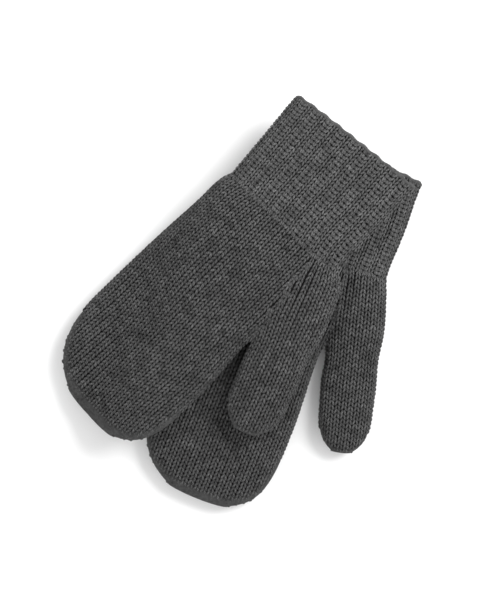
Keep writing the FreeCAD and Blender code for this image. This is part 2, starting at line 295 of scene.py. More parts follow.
class Surface:
    """A knitted tube's outside, as top and bottom faces on a grid of sections."""

    def __init__(self, axis, tris, start, stop, free, tip_run=0.0, limits=None):
        self.axis, self.tip_start = axis, stop - TIP_ROUNDS * tip_run
        local = axis.local(tris)
        count = max(4, int(round((stop - start) / STATION_STEP)))
        self.stations = np.linspace(start, stop, count + 1)
        angle = np.linspace(0, math.pi, SECTION_STEPS + 1)
        across, top, bottom = [], [], []
        for at in self.stations:
            segments, left, right = section(local, at, SLIT if at > free else FOLD_SLIT)
            if limits:
                left, right = limits(at, left, right)
            x = (left + right) / 2 - (right - left) / 2 * np.cos(angle)
            inside = np.clip(x, left + EDGE_MARGIN, right - EDGE_MARGIN)
            high, low = heights(segments, inside)
            across.append(x)
            top.append(high)
            bottom.append(low)
        self.x = soften(np.array(across), along_only=True)
        top, bottom = soften(np.array(top)), soften(np.array(bottom))
        self.share = (top - bottom) / (top - bottom).max()
        along = np.repeat(self.stations[:, None], len(angle), 1)
        worn = SAG * np.clip(2 * self.share - 0.8, 0, 1)
        phase = 1.0 + self.axis.along[0] * 5
        self.faces = [
            top - worn * soft_waves(self.x, along, phase),
            bottom + worn * soft_waves(self.x, along, phase + 1.7),
        ]

    def between(self, grid, at):
        """A grid's row at any distance along."""
        i = np.clip(np.searchsorted(self.stations, at) - 1, 0, len(self.stations) - 2)
        t = np.clip((at - self.stations[i]) / (self.stations[i + 1] - self.stations[i]), 0, 1)
        return grid[i] * (1 - t) + grid[i + 1] * t

    def row(self, face, at):
        """(across, z) of one face at any distance along."""
        return self.between(self.x, at), self.between(self.faces[face], at)

    def tip_share(self, low, high, at):
        """A value that is low along the straight sides and high round the tip."""
        return low + (high - low) * ease(at, self.tip_start, self.tip_start + TIP_FADE)

    def edge_band(self, at):
        """1 where the knit turns over at an edge, 0 on the faces."""
        return 1 - ease(self.between(self.share, at), *BAND)


def arc_lengths(x, z):
    """Distance along a face from its left edge."""
    steps = np.hypot(np.diff(x), np.diff(z))
    return np.concatenate([[0], np.cumsum(steps)])


def at_arc(x, z, arc, distance):
    """The point at an arc length from the left edge, and the direction of the face there."""
    px, pz = np.interp(distance, arc, x), np.interp(distance, arc, z)
    before, after = np.clip([distance - DIRECTION_STEP, distance + DIRECTION_STEP], 0, arc[-1])
    dx = np.interp(after, arc, x) - np.interp(before, arc, x)
    dz = np.interp(after, arc, z) - np.interp(before, arc, z)
    size = np.maximum(np.hypot(dx, dz), 1e-9)
    return px, pz, dx / size, dz / size


class Lattice:
    """Centres, directions and spacings of the stitches of one face: arrays [course, wale]."""

    def __init__(self, surface, face, courses, columns, lift=0.0):
        shape = (len(courses), columns)
        self.surface, self.face, self.courses = surface, face, np.asarray(courses)
        self.at, self.side = np.zeros((2,) + shape + (3,))
        self.wide, self.band, self.sink = np.zeros((3,) + shape)
        self.valid = np.zeros(shape, bool)
        self.lift = np.full(shape, lift - INSET)
        self.reach = np.repeat(self.courses[:, None], columns, 1)

    def set_course(self, j, distances, widths, valid, shift=0.0):
        """Lays one course at arc lengths from the left edge, shifted along the tube."""
        at = self.courses[j]
        x, z = self.surface.row(self.face, at)
        arc = arc_lengths(x, z)
        px, pz, dx, dz = at_arc(x, z, arc, distances)
        axis = self.surface.axis
        self.at[j] = axis.world(px, np.full(len(px), at) + shift, pz)
        self.side[j, :, :2] = dx[:, None] * axis.across
        self.side[j, :, 2] = dz
        self.wide[j] = widths
        self.band[j] = np.interp(distances, arc, self.surface.edge_band(at))
        share = np.interp(distances, arc, self.surface.between(self.surface.share, at))
        self.valid[j] = valid & (share > self.surface.tip_share(SIDE_SHARE, LAST_SHARE, at))
        self.sink[j] = self.band[j] * self.surface.tip_share(SIDE_SINK, BAND_SINK, at)

    def finish(self):
        """Directions along the wale and out of the surface, and the stitches' final places."""
        up = np.gradient(self.at, axis=0)
        ahead = np.append(self.surface.axis.along, 0.0) * (self.courses[1] - self.courses[0])
        astray = np.linalg.norm(up, axis=2, keepdims=True) > ASTRAY * COURSE
        self.up = np.where(astray, ahead, up)
        out = np.cross(self.side, self.up)
        out /= np.maximum(np.linalg.norm(out, axis=2, keepdims=True), 1e-12)
        faces_up = out[..., 2][self.valid].sum() > 0
        self.out = out if faces_up == (self.face == 0) else -out
        self.at = self.at + self.out * (self.lift - self.sink)[..., None]
        return self

    def turned_in(self, depth):
        """The same stitches seen from inside the tube."""
        inner = Lattice(self.surface, self.face, self.courses, self.at.shape[1])
        inner.at, inner.side, inner.up = self.at - self.out * depth, self.side, self.up
        inner.out, inner.wide, inner.band = -self.out, self.wide * BACK_WIDTH, self.band
        inner.valid, inner.reach = self.valid, self.reach
        return inner


# ---- yarn legs ----
LEG_T = np.array([0.0, 0.16, 0.38, 0.62, 0.84, 1.0])
# A leg's path: across from the wale's middle (in wale widths), along the wale (in courses) and
# outward (in leg radii).
KNIT_LEG = (
    np.array([0.07, 0.13, 0.21, 0.29, 0.355, 0.39]),
    np.array([-0.58, -0.36, -0.06, 0.26, 0.56, 0.76]),
    np.array([-1.35, -0.25, 0.35, 0.35, -0.25, -1.35]),
)
PURL_LEG = (
    np.array([-0.06, 0.10, 0.30, 0.48, 0.62, 0.72]),
    np.array([0.16, 0.18, 0.10, -0.06, -0.20, -0.32]),
    np.array([0.15, 0.22, 0.12, -0.12, -0.45, -0.95]),
)
HEM_LEG = (
    np.array([-0.62, -0.36, -0.10, 0.16, 0.42, 0.64]),
    np.array([-0.42, -0.30, -0.10, 0.12, 0.30, 0.38]),
    np.array([-0.60, 0.15, 0.45, 0.45, 0.15, -0.60]),
)
LEG_THICK = np.array([0.50, 0.92, 1.08, 1.06, 0.86, 0.46])
SIZE_SPREAD, ACROSS_SPREAD, ALONG_SPREAD, PAIR_SPREAD = 0.05, 0.012, 0.04, 0.03
TONE_SPREAD, LEG_TONE_SPREAD = 0.13, 0.05        # heather: by stitch, and between its two legs
TONE_LIMITS = (0.45, 1.7)
EDGE_THINNING = 0.12            # yarn is stretched thinner where the knit turns over
CUFF_PAINTED_LIGHT = 0.24             # painted light: yarn is painted lighter on the cuff, fading out over this reach into the hand
CUFF_PAINTED_LIGHT_FADE = (50.0 * MM, 125.0 * MM)


def leg_path(at, side, up, out, wide, radius, shape, hand, jitter):
    """The middle line of one leg of every stitch: [stitch, ring, xyz]."""
    path = []
    for s, r, l in zip(*shape):
        across = (hand * s + ACROSS_SPREAD * jitter[:, 1]) * wide
        along = r + ALONG_SPREAD * jitter[:, 2] + PAIR_SPREAD * hand * jitter[:, 3]
        path.append(at + side * across[:, None] + up * along[:, None] + out * (l * radius)[:, None])
    return np.stack(path, 1)


def leg_rings(path, out, radius):
    """Rings of points round every leg's middle line."""
    around = np.linspace(0, 2 * math.pi, LEG_SIDES, endpoint=False)
    ahead = np.gradient(path, axis=1)
    ahead /= np.linalg.norm(ahead, axis=2, keepdims=True)
    flank = np.cross(ahead, out[:, None])
    flank /= np.linalg.norm(flank, axis=2, keepdims=True)
    over = np.cross(flank, ahead)
    size = (radius[:, None] * LEG_THICK[None])[..., None, None]
    sideways = flank[:, :, None] * np.cos(around)[:, None] * size
    upward = over[:, :, None] * np.sin(around)[:, None] * size * YARN_FLATNESS
    return (path[:, :, None] + sideways + upward).reshape(len(path), -1, 3)


def legs(lattice, keep=True, leg_radius=HAND_LEG, shape=KNIT_LEG, tone=1.0):
    """Vertices and tones of every kept stitch's two legs; the tones hold random heather, painted light toward the
    cuff, and any painted shade passed in.
    """
    pick = lattice.valid & keep
    at, side, up, out = (a[pick] for a in (lattice.at, lattice.side, lattice.up, lattice.out))
    wide, reach, band = lattice.wide[pick], lattice.reach[pick], lattice.band[pick]
    jitter = rng.normal(0, 1, (len(at), 6))
    radius = wide * leg_radius * (1 + SIZE_SPREAD * jitter[:, 0]) * (1 - EDGE_THINNING * band)
    # painted light: stitches are painted lighter toward the cuff; a tone below 1 adds painted shade
    painted_light_tone = tone * (1 + CUFF_PAINTED_LIGHT * (1 - ease(reach, *CUFF_PAINTED_LIGHT_FADE)))
    verts, tones = [], []
    for hand in (-1.0, 1.0):
        path = leg_path(at, side, up, out, wide, radius, shape, hand, jitter)
        verts.append(leg_rings(path, out, radius))
        leg_tone = painted_light_tone * (1 + TONE_SPREAD * jitter[:, 4] + LEG_TONE_SPREAD * hand * jitter[:, 5])
        tones.append(np.repeat(np.clip(leg_tone, *TONE_LIMITS)[:, None], len(LEG_T) * LEG_SIDES, 1))
    return np.concatenate(verts), np.concatenate(tones)


def leg_topology(count):
    """Faces and UVs of many legs with the same rings, each with its two ends closed."""
    rings, sides = len(LEG_T), LEG_SIDES
    faces, uvs = [], []
    for r in range(rings - 1):
        for s in range(sides):
            t = (s + 1) % sides
            faces.append([r * sides + s, (r + 1) * sides + s, (r + 1) * sides + t, r * sides + t])
            left, right = s / sides, (s + 1) / sides
            uvs += [(left, LEG_T[r]), (left, LEG_T[r + 1]), (right, LEG_T[r + 1]), (right, LEG_T[r])]
    ends = [list(range(sides)), [(rings - 1) * sides + s for s in range(sides)][::-1]]
    for end, height in zip(ends, (0.0, 1.0)):
        faces.append(end)
        uvs += [((v % sides) / sides, height) for v in end]
    loops = np.array([v for face in faces for v in face])
    shift = (np.arange(count) * rings * sides)[:, None]
    sizes = np.array([len(face) for face in faces])
    return (shift + loops[None]).ravel(), np.tile(sizes, count), np.tile(np.array(uvs), (count, 1))


def mesh_object(name, verts, loops, sizes, uvs, tones, material):
    """A smooth mesh object from flat arrays."""
    mesh = bpy.data.meshes.new(name)
    mesh.vertices.add(len(verts))
    mesh.vertices.foreach_set("co", np.asarray(verts, np.float32).ravel())
    mesh.loops.add(len(loops))
    mesh.loops.foreach_set("vertex_index", np.asarray(loops, np.int32))
    mesh.polygons.add(len(sizes))
    starts = np.concatenate([[0], np.cumsum(sizes)[:-1]])
    mesh.polygons.foreach_set("loop_start", starts.astype(np.int32))
    mesh.polygons.foreach_set("use_smooth", np.ones(len(sizes), bool))
    layer = mesh.uv_layers.new(name="OFBake")
    layer.data.foreach_set("uv", np.asarray(uvs, np.float32).ravel())
    mesh.attributes.new("tone", "FLOAT", "POINT").data.foreach_set("value", np.asarray(tones, np.float32))
    mesh.update(calc_edges=True)
    mesh.materials.append(material)
    obj = bpy.data.objects.new(name, mesh)
    bpy.context.scene.collection.objects.link(obj)
    return obj


def stitch_object(name, parts, material):
    """One mesh of many stitches."""
    verts = np.concatenate([p[0] for p in parts])
    tones = np.concatenate([p[1] for p in parts])
    loops, sizes, uvs = leg_topology(len(verts))
    return mesh_object(name, verts.reshape(-1, 3), loops, sizes, uvs, tones.ravel(), material)


# ---- materials ----
SHADED_HALF_TONE = 0.30                   # painted shade: share of its tone a leg keeps on the half that faces into the knit
END_SHADE = 2.6                 # painted shade: how quickly a leg darkens toward its ends, where it dives into the knit
PLY_SLANT = 0.62                # radians


class Nodes:
    """A small helper to write a material's node tree."""

    def __init__(self, name):
        self.material = bpy.data.materials.new(name)
        self.material.use_nodes = True
        self.tree = self.material.node_tree
        self.tree.nodes.clear()

    def add(self, kind, inputs=None, **settings):
        node = self.tree.nodes.new(kind)
        for key, value in settings.items():
            setattr(node, key, value)
        for key, value in (inputs or {}).items():
            if isinstance(value, bpy.types.NodeSocket):
                self.tree.links.new(value, node.inputs[key])
            else:
                node.inputs[key].default_value = value
        return node

    def maths(self, operation, *values):
        inputs = dict(enumerate(values))
        return self.add("ShaderNodeMath", inputs, operation=operation).outputs[0]

    def total(self, terms):
        """The sum of sockets, each times its weight."""
        result = 0.0
        for socket, weight in terms:
            result = self.maths("MULTIPLY_ADD", socket, weight, result)
        return result

    def ramp(self, factor, low, high, start, end):
        node = self.add("ShaderNodeValToRGB", {"Fac": factor})
        first, last = node.color_ramp.elements
        first.position, first.color = start, low
        last.position, last.color = end, high
        return node.outputs["Color"]

    def place(self):
        return self.add("ShaderNodeNewGeometry").outputs["Position"]

    def noise(self, vector, scale, detail, roughness=0.7):
        inputs = {"Vector": vector, "Scale": scale, "Detail": detail, "Roughness": roughness}
        return self.add("ShaderNodeTexNoise", inputs).outputs["Fac"]

    def scaled(self, colour, factor):
        """A colour times a number."""
        return self.add("ShaderNodeVectorMath", {0: colour, "Scale": factor}, operation="SCALE").outputs[0]

    def cloth(self, colour, height, bump, sheen):
        """Matt fibre with a soft halo."""
        normal = self.add("ShaderNodeBump", {"Height": height, "Strength": 0.8, "Distance": bump}).outputs[0]
        shader = self.add("ShaderNodeBsdfPrincipled", {
            "Base Color": colour, "Roughness": 0.95, "Specular IOR Level": 0.12,
            "Sheen Weight": sheen, "Sheen Roughness": 0.5, "Sheen Tint": grey(0.4), "Normal": normal})
        self.add("ShaderNodeOutputMaterial", {"Surface": shader.outputs["BSDF"]})
        return self.material


def grey(value):
    return (value, value, value, 1.0)


def yarn_pattern(n, place):
    """Height of loose fibre and blotchy dye, between about 0.3 and 0.8."""
    fluff = n.noise(place, 1700.0, 3.0, 0.75)
    coarse = n.noise(place, 620.0, 3.0)
    dye = n.noise(place, 130.0, 2.0)
    return n.total([(fluff, 0.40), (coarse, 0.36), (dye, 0.24)])


def wool(name, dark, light):
    """Plied wool yarn: slanting plies and fine fibre, with painted shade at the ends where a leg dives into the
    knit and on the half of each leg that faces into the knit.
    """
    n = Nodes(name)
    uv = n.add("ShaderNodeUVMap", uv_map="OFBake").outputs["UV"]
    slant = n.add("ShaderNodeMapping", {
        "Vector": uv, "Scale": (1.0, 1.3, 1.0), "Rotation": (0, 0, PLY_SLANT)})
    ply = n.add("ShaderNodeTexWave", {
        "Vector": slant.outputs["Vector"], "Scale": 1.7, "Distortion": 1.2, "Detail": 2.0,
        "Detail Scale": 2.0}, wave_type="BANDS").outputs["Fac"]
    mix = n.total([(ply, 0.26), (yarn_pattern(n, n.place()), 0.74)])
    split = n.add("ShaderNodeSeparateXYZ", {"Vector": uv}).outputs
    round_leg, along = split["X"], split["Y"]
    # painted shade: a leg darkens toward both ends, where it dives into the knit
    from_middle = n.maths("ABSOLUTE", n.maths("SUBTRACT", along, 0.5))
    end_shade = n.maths("SUBTRACT", 1.0, n.maths("MULTIPLY", n.maths("POWER", from_middle, 2.0), END_SHADE))
    # painted shade: the outward half of a leg keeps its tone, the half facing into the knit is darkened
    crown = n.maths("SINE", n.maths("MULTIPLY", round_leg, 2 * math.pi))
    crown_shade = n.maths("MULTIPLY_ADD", n.maths("MAXIMUM", crown, 0.0), 1.0 - SHADED_HALF_TONE, SHADED_HALF_TONE)
    tone = n.add("ShaderNodeAttribute", attribute_name="tone").outputs["Fac"]
    shade = n.maths("MULTIPLY", tone, n.maths("MULTIPLY", end_shade, crown_shade))
    colour = n.scaled(n.ramp(mix, grey(dark), grey(light), 0.34, 0.74), shade)
    return n.cloth(colour, mix, 0.45 * MM, 0.10)


def felt(name, depth, dark, light):
    """Felted cloth: painted near black behind the stitches as painted shade for the gaps between them, wool grey
    where it comes to the surface.
    """
    n = Nodes(name)
    mix = yarn_pattern(n, n.place())
    tone = n.add("ShaderNodeAttribute", attribute_name="tone").outputs["Fac"]
    top = n.ramp(mix, grey(dark), grey(light), 0.34, 0.70)
    # painted shade: the tone attribute mixes from the near-black depth colour on the faces to wool grey in the
    # edge band
    blend = n.add("ShaderNodeMix", {"Factor": tone, "A": grey(depth), "B": top}, data_type="RGBA")
    return n.cloth(blend.outputs["Result"], mix, 0.5 * MM, 0.12)


def fleece(name, dark, light):
    """Brushed fleece: soft tufts."""
    n = Nodes(name)
    place = n.place()
    tuft = n.add("ShaderNodeTexVoronoi", {"Vector": place, "Scale": 420.0}).outputs["Distance"]
    mix = n.total([(tuft, 0.45), (n.noise(place, 900.0, 5.0, 0.75), 0.6)])
    return n.cloth(n.ramp(mix, grey(dark), grey(light), 0.3, 0.8), mix, 0.8 * MM, 0.4)


def rolled(name, dark, light):
    """The smooth cast-on edge."""
    n = Nodes(name)
    mix = yarn_pattern(n, n.place())
    return n.cloth(n.ramp(mix, grey(dark), grey(light), 0.34, 0.70), mix, 0.5 * MM, 0.3)


HAND_WOOL = wool("hand_wool", 0.014, 0.163)
# painted light: the cuff's wool is a slightly lighter copy of the hand's, for the brighter light on the cuffs
LIT_CUFF_WOOL = wool("cuff_wool", 0.015, 0.170)
HEM_WOOL = wool("hem_wool", 0.030, 0.13)
EDGE_KNIT = rolled("rolled_edge", 0.025, 0.12)
# painted shade: near black behind the stitches, wool grey where the knit turns over
KNIT_FELT_AND_SHADE = felt("knit_felt", 0.006, 0.010, 0.095)
FLEECE = fleece("fleece", 0.012, 0.045)
SEAM = fleece("seam_yarn", 0.015, 0.055)


# ---- one mitten ----
def joint(name):
    return next(j for j in frame["joints"] if j["name"] == name)


def mount(name):
    return next(m for m in frame["record"]["mounts"] if m["name"] == name)


def mouth_slant(axis, tris):
    """How far the cuff's mouth slopes across the cuff."""
    points = axis.local(tris.reshape(-1, 3))
    margin = 4 * MM
    left, right = points[:, 0].min(), points[:, 0].max()
    at_left = points[points[:, 0] < left + margin, 1].min()
    at_right = points[points[:, 0] > right - margin, 1].min()
    return (at_right - at_left) / (right - left - margin)


class Mitten:
    """Axes, crotch and measured surfaces of one mitten."""

    def __init__(self, name):
        self.name = name
        opening = mount(name + "_hand_opening")
        along = [-a for a in opening["axis"]]
        slant = mouth_slant(Axis(opening["pos_m"], along), self.tris("cuff_edge"))
        self.hand_axis = Axis(opening["pos_m"], along, slant, CUFF_END)
        hand_tris = self.tris("cuff_edge", "rib_cuff", "palm_knit", "finger_knit")
        thumb = self.tris("thumb_knit")
        pivot = joint(name + "_thumb_swing")["pos_m"]
        self.thumb_axis = Axis(pivot, area_centre(thumb)[:2] - np.array(pivot[:2]))
        self.length = self.hand_axis.local(hand_tris)[..., 1].max()
        self.thumb_length = self.thumb_axis.local(thumb)[..., 1].max()
        self.find_crotch()
        self.cuff = Surface(self.hand_axis, hand_tris, 1 * MM, CUFF_END - 1 * MM, CUFF_END)
        self.hand = Surface(
            self.hand_axis, hand_tris, CUFF_END - 1 * MM, self.length - TIP_MARGIN,
            self.crotch[1], TIP_RUN, self.hand_limits)
        self.thumb = Surface(
            self.thumb_axis, self.tris("rib_cuff", "palm_knit", "thumb_knit"),
            self.crease_thumb[0][1] - STATION_STEP, self.thumb_length - TIP_MARGIN,
            self.crotch_along, THUMB_TIP_RUN, self.thumb_limits)

    def tris(self, *nodes):
        return triangles([self.name + "_" + node for node in nodes])

    def find_crotch(self):
        """The reach at which thumb and fingers part, and the crease from the cuff to there."""
        tris = self.hand_axis.local(self.tris("palm_knit", "finger_knit", "thumb_knit"))
        for reach in np.arange(*CROTCH_SEARCH):
            segments, left, right = section(tris, reach)
            if right < segments[:, :, 0].max() - THUMB_BEYOND:
                break
        self.crotch = np.array([right + SLIT / 2, reach])
        self.crotch_along = self.thumb_axis.local(self.hand_axis.world(*self.crotch, 0.0))[1]
        _, left, right = section(tris, CUFF_END + 2 * MM)
        start = (right - CREASE_START, CUFF_END)
        self.crease_hand = (start, self.crotch)
        ends = [self.thumb_axis.local(self.hand_axis.world(*p, 0.0)) for p in self.crease_hand]
        self.crease_thumb = [(p[0], p[1]) for p in ends]

    def crease(self, reach, line):
        """Where the hand's stitches give way to the thumb's, at a distance along either axis."""
        (x0, y0), (x1, y1) = line
        return x0 + (reach - y0) / (y1 - y0) * (x1 - x0)

    def hand_limits(self, at, left, right):
        if at < self.crotch[1]:
            run = OVERLAP * np.clip((self.crotch[1] - at) / OVERLAP_RUN, 0, 1)
            right = min(right, self.crease(at, self.crease_hand) + run)
        return left, right

    def thumb_limits(self, at, left, right):
        if at < self.crotch_along + 1 * MM:
            run = OVERLAP * np.clip((self.crotch_along - at) / OVERLAP_RUN, 0, 1)
            left = self.crease(at, self.crease_thumb) - run
        return left, right


# ---- laying out the stitches ----
def face_arcs(surface, face, at, centre):
    """A face's row at one distance along, its arc lengths, and the arc length of its centre."""
    x, z = surface.row(face, at)
    arc = arc_lengths(x, z)
    return x, arc, np.interp(centre, x, arc)


def free_wales(surface, face, at, tip_start, centre, order):
    """Wales evenly spread either side of the centre; round a tip they keep their width."""
    wales = len(order) / 2
    _, full_arc, full_middle = face_arcs(surface, face, min(at, tip_start), centre)
    x, arc, middle = face_arcs(surface, face, at, centre)
    width = np.where(order < 0, full_middle / wales, (full_arc[-1] - full_middle) / wales)
    distance = middle + order * width
    return x, arc, distance, width, (distance > 0) & (distance < arc[-1])


def held_width(held, width):
    """Widths of wales that are held in place near the crease."""
    return np.clip(np.gradient(held), WALE_GIVE[0] * width, WALE_GIVE[1] * width)


def hand_lattice(mitten, face):
    """Stockinette on the hand: wales run straight to the rounded tip, and end at its edge."""
    surface = mitten.hand
    tip_start = mitten.length - TIP_RUN
    courses = np.arange(CUFF_END + 0.5 * COURSE, mitten.length - 0.4 * COURSE, COURSE)
    order = np.arange(-HAND_WALES, HAND_WALES) + 0.5
    free = mitten.crotch[1] + PAST_CROTCH
    centre = surface.row(face, tip_start)[0][[0, -1]].mean()
    x, arc, middle = face_arcs(surface, face, free, centre)
    free_across = np.interp(middle + order / HAND_WALES * (arc[-1] - middle), arc, x)
    lattice = Lattice(surface, face, courses, len(order))
    for j, at in enumerate(courses):
        x, arc, distance, width, valid = free_wales(surface, face, at, tip_start, centre, order)
        if at < free:
            held = np.interp(free_across, x, arc)
            distance = np.where(order > 0, held, distance)
            width = np.where(order > 0, held_width(held, width), width)
            valid &= (order < 0) | (free_across < mitten.crease(at, mitten.crease_hand) + HAND_LAP)
        lattice.set_course(j, distance, width, valid)
    return lattice.finish()


def thumb_lattice(mitten, face):
    """Stockinette on the gusset and thumb: wales fan out from the cuff into the thumb."""
    surface = mitten.thumb
    tip_start = mitten.thumb_length - THUMB_TIP_RUN
    courses = np.arange(surface.stations[0] + 0.5 * COURSE, mitten.thumb_length - 0.4 * COURSE, COURSE)
    order = np.arange(-THUMB_WALES, THUMB_WALES) + 0.5
    free = mitten.crotch_along + PAST_CROTCH
    x, arc, middle = face_arcs(surface, face, free, 0.0)
    free_left = np.interp(middle + order / THUMB_WALES * middle, arc, x)
    free_edge = x[-1]
    lattice = Lattice(surface, face, courses, len(order))
    for j, at in enumerate(courses):
        x, arc, distance, width, valid = free_wales(surface, face, at, tip_start, 0.0, order)
        if at < free:
            across = free_left * x[-1] / free_edge      # the wales fan out from the cuff
            held = np.interp(across, x, arc)
            distance = np.where(order < 0, held, distance)
            width = np.where(order < 0, held_width(held, width), width)
            valid = (order > 0) | (across > mitten.crease(at, mitten.crease_thumb) - THUMB_LAP)
        lattice.set_course(j, distance, width, valid)
    lattice.finish()
    lattice.reach = mitten.hand_axis.local(lattice.at)[..., 1]
    lattice.valid &= lattice.reach > CUFF_END - 0.3 * COURSE
    return lattice


def scallop(distance, repeat, at):
    """How far the knit is pushed along the tube near the cuff's mouth."""
    fade = 1 - ease(at, 0.0, SCALLOP_RUN)
    return SCALLOP * fade * np.cos(2 * math.pi * distance / repeat)


def cuff_lattices(mitten, face):
    """Two by one rib: raised pairs of knit wales, and a sunken purl wale between them."""
    surface = mitten.cuff
    courses = np.arange(1.1 * COURSE, CUFF_END + 0.4 * COURSE, COURSE)
    knit = Lattice(surface, face, courses, 2 * RIBS, RIB_RISE)
    purl = Lattice(surface, face, courses, RIBS, -RIB_SINK)
    tilt = np.tile([1.0, -1.0], RIBS) * RIB_TILT
    for j, at in enumerate(courses):
        repeat = arc_lengths(*surface.row(face, at))[-1] / RIBS
        middles = (np.arange(RIBS) + 0.5) * repeat
        pairs = (middles[:, None] + KNIT_PLACES * repeat).ravel()
        knit.set_course(j, pairs, np.full(2 * RIBS, KNIT_WIDTH * repeat), True, scallop(pairs, repeat, at))
        furrows = middles - 0.5 * repeat
        purl.set_course(j, furrows, np.full(RIBS, PURL_WIDTH * repeat), True, scallop(furrows, repeat, at))
    knit.finish()
    purl.finish()
    knit.side = knit.side - knit.out * tilt[None, :, None] * (1 if face == 0 else -1)
    return knit, purl


def hem_lattice(mitten, face):
    """The whip stitches that join knit and lining."""
    courses = CUFF_END + HEM_COURSES * COURSE
    lattice = Lattice(mitten.cuff, face, courses, HEM_STITCHES, INSET - HEM_DEPTH)
    for j, at in enumerate(courses):
        width = arc_lengths(*mitten.cuff.row(face, at))[-1] / HEM_STITCHES
        distance = (np.arange(HEM_STITCHES) + 0.5) * width
        lattice.set_course(j, distance, np.full(HEM_STITCHES, width), True)
    return lattice.finish()


# ---- tubes ----
def tube(name, rings, tones, material, joined):
    """A mesh through closed rings, joined last to first or closed at both ends."""
    count, number = len(rings[0]), len(rings)
    loops, sizes, uvs = [], [], []
    steps = number if joined else number - 1
    for i in range(steps):
        a, b = i * count, (i + 1) % number * count
        low, high = i / steps, (i + 1) / steps
        for m in range(count):
            k = (m + 1) % count
            loops += [a + m, b + m, b + k, a + k]
            uvs += [(m / count, low), (m / count, high), ((m + 1) / count, high), ((m + 1) / count, low)]
            sizes.append(4)
    if not joined:
        last_ring = range((number - 1) * count, number * count)
        for ring, height in ((range(count), 0.0), (reversed(last_ring), 1.0)):
            loops += list(ring)
            uvs += [(m / count, height) for m in range(count)]
            sizes.append(count)
    return mesh_object(name, np.concatenate(rings), loops, sizes, uvs, np.concatenate(tones), material)


def drawn_in(surface, at, face_depth, edge_depth, tip_run, end):
    """A closed section drawn in from the surface, and its edge band."""
    edge_depth = surface.tip_share(*edge_depth, at)
    start = end - tip_run
    place = at if at < start else start + (at - start) * (tip_run - edge_depth) / tip_run
    x, top = surface.row(0, at)
    _, bottom = surface.row(1, at)
    band = surface.edge_band(at)
    centre, half_width = (x[0] + x[-1]) / 2, (x[-1] - x[0]) / 2
    middle, half = (top + bottom) / 2, (top - bottom) / 2
    shrink = max(0.05, (half_width - edge_depth) / half_width)
    inner_x = centre + (x - centre) * shrink
    depth = face_depth + (edge_depth - face_depth) * band
    inner_half = np.maximum(half - depth, 0.04 * half)
    across = np.concatenate([inner_x, inner_x[::-1][1:-1]])
    z = np.concatenate([middle + inner_half, (middle - inner_half)[::-1][1:-1]])
    ring = surface.axis.world(across, np.full(len(across), place), z)
    return ring, np.concatenate([band, band[::-1][1:-1]])


def dome(surface, ring, band):
    """Rings that round off a tip past its last section, smallest first."""
    centre, along = ring.mean(0), np.append(surface.axis.along, 0.0)
    height = TIP_BULGE * np.linalg.norm(ring[SECTION_STEPS] - ring[0])
    rings = []
    for share in DOME_RINGS:
        width = math.sqrt(1 - share * share)
        rings.append((centre + (ring - centre) * width + along * share * height, band))
    return rings


def bag(name, surface, start, stop, outer, inner, tip, material):
    """A wall between an outer and an inner depth, each given as (face, (side, tip)).

    With a tip, given as the length of its rounded part and where it ends, the bag is closed there.
    """
    stations = np.arange(start, stop - 0.5 * STATION_STEP, STATION_STEP)
    if tip:
        finer = stop - TIP_STATIONS
        stations = np.append(stations[stations < finer[0] - 1 * MM], finer)
    stations = np.append(stations, stop)
    run, end = tip or (1.0, stop + 1.0)
    outside = [drawn_in(surface, at, *outer, run, end) for at in stations]
    inside = [drawn_in(surface, at, *inner, run, end) for at in stations]
    walls = (dome(surface, *outside[-1]) if tip else []) + outside[::-1] + inside
    rings, tones = [w[0] for w in walls], [w[1] for w in walls]
    obj = tube(name, rings, tones, material, joined=not tip)
    obj.data.flip_normals()
    return obj


def edge_cord(mitten):
    """The rolled cast-on edge round the cuff's mouth, a soft cord that follows the ribs."""
    surface = mitten.cuff
    path, out = [], []
    for face, flip in ((0, 1.0), (1, -1.0)):
        x, z = surface.row(face, CORD_AT)
        arc = arc_lengths(x, z)
        distance = np.linspace(0, arc[-1], CORD_STEPS * RIBS, endpoint=False)
        distance = distance if face == 0 else arc[-1] - distance
        px, pz, dx, dz = at_arc(x, z, arc, distance)
        push = scallop(distance, arc[-1] / RIBS, 0.0)
        path.append(surface.axis.world(px, np.full(len(px), CORD_AT) + push, pz))
        out.append(np.stack([-dz * flip, dx * flip], axis=-1))
    path, out = np.concatenate(path), np.concatenate(out)
    normals = np.concatenate([out[:, :1] * surface.axis.across, out[:, 1:]], axis=1)
    path = path - normals * CORD_DEPTH
    along = np.append(surface.axis.along, 0.0)
    around = np.linspace(0, 2 * math.pi, CORD_SIDES, endpoint=False)
    rings = []
    for i, (centre, normal) in enumerate(zip(path, normals)):
        size = EDGE_CORD * (1 + CORD_WAVE * math.sin(i * CORD_WAVE_STEP))
        rings.append(centre + size * (np.outer(np.cos(around), normal) + np.outer(np.sin(around), along)))
    tones = [np.ones(CORD_SIDES) for _ in rings]
    return tube(mitten.name + "_edge_cord", rings, tones, EDGE_KNIT, joined=True)


